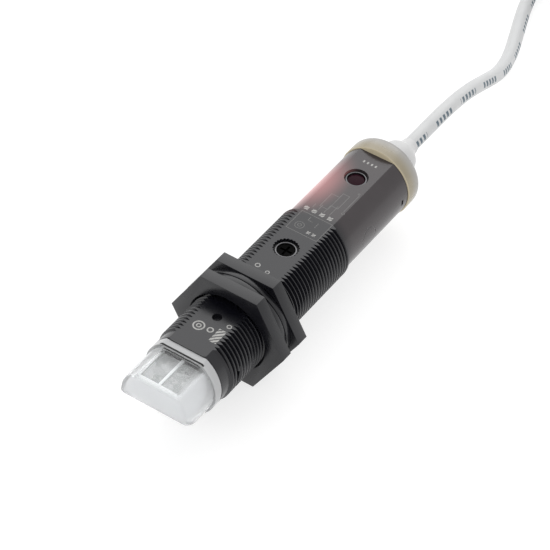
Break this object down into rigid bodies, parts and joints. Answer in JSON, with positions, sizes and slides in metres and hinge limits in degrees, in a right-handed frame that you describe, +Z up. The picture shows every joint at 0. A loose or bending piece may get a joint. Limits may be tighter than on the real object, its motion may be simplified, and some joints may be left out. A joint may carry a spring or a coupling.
{
  "type": "photoelectric sensor",
  "caption": "Photoelectric sensor in an M18 threaded tube with a clear 90-degree optical head, two clamping nuts, a trimmer, a teach button and a tied-up cable.",
  "frame": {"origin": "on the barrel's thread axis, midway between the two nuts, where a bracket is clamped", "axes": "+X along the barrel from the optical head to the cable, +Z up out of the window and the top flat; the part lies on the lower flats of its nuts at Z = -12 mm"},
  "size_m": [0.2705, 0.0321, 0.024],
  "materials": {
    "barrel_plastic": "satin",
    "nut_plastic": "satin",
    "clear_plastic": "polished",
    "optics_glass": "polished",
    "carrier_plastic": "satin",
    "black_plastic": "matt",
    "dial_plastic": "gloss",
    "button_plastic": "gloss",
    "seal_rubber": "matt",
    "bright_metal": "polished",
    "tinned_steel": "brushed",
    "capacitor_aluminium": "satin",
    "circuit_board": "satin",
    "chip_plastic": "matt",
    "trimmer_plastic": "satin",
    "led_red": "gloss",
    "led_clear": "gloss",
    "cap_plastic": "satin",
    "relief_plastic": "satin",
    "cable_jacket": "satin",
    "tie_nylon": "satin",
    "core_brown": "satin",
    "core_white": "satin",
    "core_blue": "satin",
    "core_black": "satin"
  },
  "bodies": {
    "sensor": {"barrel": "barrel_plastic", "head_cover": "clear_plastic", "head_seal": "seal_rubber", "optics_carrier": "carrier_plastic", "channel_divider": "carrier_plastic", "emitter_prism": "optics_glass", "receiver_prism": "optics_glass", "emitter_lens": "optics_glass", "receiver_lens": "optics_glass", "lens_mount": "black_plastic", "emitter_led": "led_clear", "receiver_photodiode": "chip_plastic", "main_board": "circuit_board", "sensor_chip": "chip_plastic", "output_transistors": "chip_plastic", "small_board_parts": "chip_plastic", "shield_can": "tinned_steel", "capacitor": "capacitor_aluminium", "status_led": "led_red", "trimmer_body": "trimmer_plastic", "trimmer_bezel": "bright_metal", "trimmer_seal": "seal_rubber", "button_switch": "black_plastic", "button_bezel": "bright_metal", "button_seal": "seal_rubber", "end_cap": "cap_plastic", "end_cap_seal": "seal_rubber", "strain_relief": "relief_plastic", "cable_clamp": "tinned_steel", "wire_brown": "core_brown", "wire_white": "core_white", "wire_blue": "core_blue", "wire_black": "core_black", "cable_run": "cable_jacket", "cable_hank": "cable_jacket", "cable_tie": "tie_nylon", "core_brown": "core_brown", "core_white": "core_white", "core_blue": "core_blue", "core_black": "core_black", "core_tips": "tinned_steel"},
    "front_washer": {"front_washer": "nut_plastic"},
    "front_nut": {"front_nut": "nut_plastic"},
    "rear_washer": {"rear_washer": "nut_plastic"},
    "rear_nut": {"rear_nut": "nut_plastic"},
    "trimmer_dial": {"trimmer_dial": "dial_plastic"},
    "teach_button": {"teach_button": "button_plastic"}
  },
  "joints": [
    {"name": "front_washer_slide", "type": "slide", "parent": "sensor", "child": "front_washer", "axis": [1, 0, 0], "range_m": [-0.011, 0]},
    {"name": "front_nut_turn", "type": "hinge", "parent": "front_washer", "child": "front_nut", "pos_m": [-0.00287, 0, 0], "axis": [1, 0, 0], "range_deg": [-3960, 0]},
    {"name": "rear_washer_slide", "type": "slide", "parent": "sensor", "child": "rear_washer", "axis": [1, 0, 0], "range_m": [0, 0.022]},
    {"name": "rear_nut_turn", "type": "hinge", "parent": "rear_washer", "child": "rear_nut", "pos_m": [0.00287, 0, 0], "axis": [1, 0, 0], "range_deg": [0, 7920]},
    {"name": "trimmer_turn", "type": "hinge", "parent": "sensor", "child": "trimmer_dial", "pos_m": [0.0168, 0, 0.0064], "axis": [0, 0, 1], "range_deg": [-135, 135]},
    {"name": "button_press", "type": "slide", "parent": "sensor", "child": "teach_button", "axis": [0, 0, -1], "range_m": [0, 0.00025], "stiffness_N_per_m": 2000, "springref_m": -0.0002}
  ],
  "couplings": [
    {"joint": "front_nut_turn", "follows": "front_washer_slide", "rad_per_m": 6283.2},
    {"joint": "rear_nut_turn", "follows": "rear_washer_slide", "rad_per_m": 6283.2}
  ]
}
